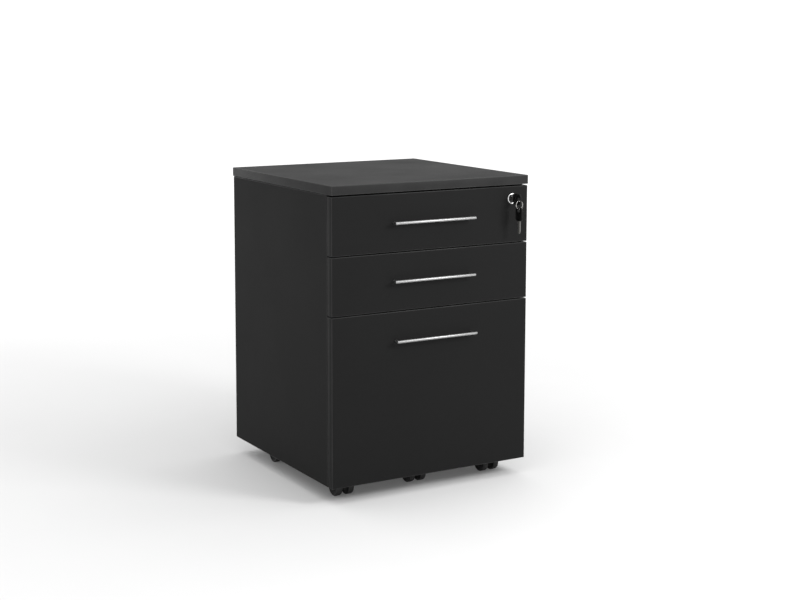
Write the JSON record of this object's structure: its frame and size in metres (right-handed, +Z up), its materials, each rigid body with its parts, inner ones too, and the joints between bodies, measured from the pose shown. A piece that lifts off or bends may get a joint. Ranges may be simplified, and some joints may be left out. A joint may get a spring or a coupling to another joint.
{
  "type": "rolling pedestal cabinet",
  "caption": "Mobile under-desk pedestal: a dark melamine case with two box drawers over a file drawer, bar handles, a gang lock with keys, and twin-wheel castors.",
  "frame": {"origin": "on the floor, at the middle of the bounding box's base", "axes": "+X to the right seen from the front, +Y to the back, +Z up; the drawers open along -Y"},
  "size_m": [0.47, 0.5016, 0.647],
  "materials": {
    "melamine": "fine-textured matt black melamine",
    "satin_chrome": "satin",
    "chrome": "polished",
    "nickel": "bright nickel",
    "zinc_steel": "zinc plated",
    "painted_steel": "black powder coat",
    "castor_plastic": "moulded, satin",
    "wheel_plastic": "moulded, matt",
    "black_plastic": "moulded, satin"
  },
  "bodies": {
    "cabinet": {"top_panel": "melamine", "side_panel_left": "melamine", "side_panel_right": "melamine", "back_panel": "melamine", "base_panel": "melamine", "slide_1_left_cabinet": "zinc_steel", "slide_1_right_cabinet": "zinc_steel", "slide_2_left_cabinet": "zinc_steel", "slide_2_right_cabinet": "zinc_steel", "slide_3_left_cabinet": "zinc_steel", "slide_3_right_cabinet": "zinc_steel", "castor_front_left_plate": "zinc_steel", "castor_front_right_plate": "zinc_steel", "castor_rear_left_plate": "zinc_steel", "castor_rear_right_plate": "zinc_steel"},
    "drawer_1": {"drawer_1_front": "melamine", "drawer_1_box": "painted_steel", "drawer_1_lock_pin": "zinc_steel", "handle_1": "satin_chrome", "slide_1_left_drawer": "zinc_steel", "slide_1_right_drawer": "zinc_steel", "lock_housing": "chrome"},
    "drawer_2": {"drawer_2_front": "melamine", "drawer_2_box": "painted_steel", "drawer_2_lock_pin": "zinc_steel", "handle_2": "satin_chrome", "slide_2_left_drawer": "zinc_steel", "slide_2_right_drawer": "zinc_steel"},
    "drawer_3": {"drawer_3_front": "melamine", "drawer_3_box": "painted_steel", "drawer_3_lock_pin": "zinc_steel", "handle_3": "satin_chrome", "slide_3_left_drawer": "zinc_steel", "slide_3_right_drawer": "zinc_steel", "file_rail_left": "black_plastic", "file_rail_right": "black_plastic", "fifth_castor_bracket": "zinc_steel", "castor_fifth_plate": "zinc_steel"},
    "slide_3_left_middle": {"slide_3_left_middle": "zinc_steel"},
    "slide_3_right_middle": {"slide_3_right_middle": "zinc_steel"},
    "lock_plug": {"lock_plug": "chrome"},
    "key": {"key": "black_plastic"},
    "key_ring": {"key_ring": "nickel"},
    "spare_key": {"spare_key": "black_plastic"},
    "lock_bar": {"lock_bar": "zinc_steel"},
    "castor_front_left_swivel": {"castor_front_left_hood": "castor_plastic"},
    "castor_front_left_wheel_left": {"castor_front_left_wheel_left": "wheel_plastic"},
    "castor_front_left_wheel_right": {"castor_front_left_wheel_right": "wheel_plastic"},
    "castor_front_right_swivel": {"castor_front_right_hood": "castor_plastic"},
    "castor_front_right_wheel_left": {"castor_front_right_wheel_left": "wheel_plastic"},
    "castor_front_right_wheel_right": {"castor_front_right_wheel_right": "wheel_plastic"},
    "castor_rear_left_swivel": {"castor_rear_left_hood": "castor_plastic"},
    "castor_rear_left_wheel_left": {"castor_rear_left_wheel_left": "wheel_plastic"},
    "castor_rear_left_wheel_right": {"castor_rear_left_wheel_right": "wheel_plastic"},
    "castor_rear_right_swivel": {"castor_rear_right_hood": "castor_plastic"},
    "castor_rear_right_wheel_left": {"castor_rear_right_wheel_left": "wheel_plastic"},
    "castor_rear_right_wheel_right": {"castor_rear_right_wheel_right": "wheel_plastic"},
    "castor_fifth_swivel": {"castor_fifth_hood": "castor_plastic"},
    "castor_fifth_wheel_left": {"castor_fifth_wheel_left": "wheel_plastic"},
    "castor_fifth_wheel_right": {"castor_fifth_wheel_right": "wheel_plastic"}
  },
  "joints": [
    {"name": "drawer_1_slide", "type": "slide", "parent": "cabinet", "child": "drawer_1", "axis": [0, -1, 0], "range_m": [0, 0.3]},
    {"name": "drawer_2_slide", "type": "slide", "parent": "cabinet", "child": "drawer_2", "axis": [0, -1, 0], "range_m": [0, 0.3]},
    {"name": "drawer_3_slide", "type": "slide", "parent": "cabinet", "child": "drawer_3", "axis": [0, -1, 0], "range_m": [0, 0.4]},
    {"name": "slide_3_left_middle_travel", "type": "slide", "parent": "cabinet", "child": "slide_3_left_middle", "axis": [0, -1, 0], "range_m": [0, 0.2]},
    {"name": "slide_3_right_middle_travel", "type": "slide", "parent": "cabinet", "child": "slide_3_right_middle", "axis": [0, -1, 0], "range_m": [0, 0.2]},
    {"name": "lock_turn", "type": "hinge", "parent": "drawer_1", "child": "lock_plug", "pos_m": [0.194, -0.2132, 0.5993], "axis": [0, 1, 0], "range_deg": [0, 180]},
    {"name": "lock_bar_lift", "type": "slide", "parent": "cabinet", "child": "lock_bar", "axis": [0, 0, 1], "range_m": [0, 0.012]},
    {"name": "key_withdraw", "type": "slide", "parent": "lock_plug", "child": "key", "axis": [0, -1, 0], "range_m": [0, 0.026]},
    {"name": "key_ring_swing", "type": "hinge", "parent": "key", "child": "key_ring", "pos_m": [0.194, -0.2398, 0.5993], "axis": [-1, 0, 0], "range_deg": [0, 180]},
    {"name": "spare_key_swing", "type": "hinge", "parent": "key_ring", "child": "spare_key", "pos_m": [0.194, -0.2398, 0.57988], "axis": [-1, 0, 0], "range_deg": [-25, 25]},
    {"name": "castor_front_left_swivel", "type": "hinge", "parent": "cabinet", "child": "castor_front_left_swivel", "pos_m": [-0.179, -0.1332, 0.03], "axis": [0, 0, 1], "continuous": true},
    {"name": "castor_front_left_wheel_left_spin", "type": "hinge", "parent": "castor_front_left_swivel", "child": "castor_front_left_wheel_left", "pos_m": [-0.179, -0.1472, 0.02], "axis": [1, 0, 0], "continuous": true},
    {"name": "castor_front_left_wheel_right_spin", "type": "hinge", "parent": "castor_front_left_swivel", "child": "castor_front_left_wheel_right", "pos_m": [-0.179, -0.1472, 0.02], "axis": [1, 0, 0], "continuous": true},
    {"name": "castor_front_right_swivel", "type": "hinge", "parent": "cabinet", "child": "castor_front_right_swivel", "pos_m": [0.179, -0.1332, 0.03], "axis": [0, 0, 1], "continuous": true},
    {"name": "castor_front_right_wheel_left_spin", "type": "hinge", "parent": "castor_front_right_swivel", "child": "castor_front_right_wheel_left", "pos_m": [0.179, -0.1472, 0.02], "axis": [1, 0, 0], "continuous": true},
    {"name": "castor_front_right_wheel_right_spin", "type": "hinge", "parent": "castor_front_right_swivel", "child": "castor_front_right_wheel_right", "pos_m": [0.179, -0.1472, 0.02], "axis": [1, 0, 0], "continuous": true},
    {"name": "castor_rear_left_swivel", "type": "hinge", "parent": "cabinet", "child": "castor_rear_left_swivel", "pos_m": [-0.179, 0.1468, 0.03], "axis": [0, 0, 1], "continuous": true},
    {"name": "castor_rear_left_wheel_left_spin", "type": "hinge", "parent": "castor_rear_left_swivel", "child": "castor_rear_left_wheel_left", "pos_m": [-0.179, 0.1328, 0.02], "axis": [1, 0, 0], "continuous": true},
    {"name": "castor_rear_left_wheel_right_spin", "type": "hinge", "parent": "castor_rear_left_swivel", "child": "castor_rear_left_wheel_right", "pos_m": [-0.179, 0.1328, 0.02], "axis": [1, 0, 0], "continuous": true},
    {"name": "castor_rear_right_swivel", "type": "hinge", "parent": "cabinet", "child": "castor_rear_right_swivel", "pos_m": [0.179, 0.1468, 0.03], "axis": [0, 0, 1], "continuous": true},
    {"name": "castor_rear_right_wheel_left_spin", "type": "hinge", "parent": "castor_rear_right_swivel", "child": "castor_rear_right_wheel_left", "pos_m": [0.179, 0.1328, 0.02], "axis": [1, 0, 0], "continuous": true},
    {"name": "castor_rear_right_wheel_right_spin", "type": "hinge", "parent": "castor_rear_right_swivel", "child": "castor_rear_right_wheel_right", "pos_m": [0.179, 0.1328, 0.02], "axis": [1, 0, 0], "continuous": true},
    {"name": "castor_fifth_swivel", "type": "hinge", "parent": "drawer_3", "child": "castor_fifth_swivel", "pos_m": [0, -0.1242, 0.03], "axis": [0, 0, 1], "continuous": true},
    {"name": "castor_fifth_wheel_left_spin", "type": "hinge", "parent": "castor_fifth_swivel", "child": "castor_fifth_wheel_left", "pos_m": [0, -0.1382, 0.02], "axis": [1, 0, 0], "continuous": true},
    {"name": "castor_fifth_wheel_right_spin", "type": "hinge", "parent": "castor_fifth_swivel", "child": "castor_fifth_wheel_right", "pos_m": [0, -0.1382, 0.02], "axis": [1, 0, 0], "continuous": true}
  ],
  "couplings": [
    {"joint": "slide_3_left_middle_travel", "follows": "drawer_3_slide", "ratio": 0.5},
    {"joint": "slide_3_right_middle_travel", "follows": "drawer_3_slide", "ratio": 0.5},
    {"joint": "lock_bar_lift", "follows": "lock_turn", "m_per_rad": 0.0038197},
    {"joint": "key_ring_swing", "follows": "lock_turn", "ratio": 1}
  ]
}
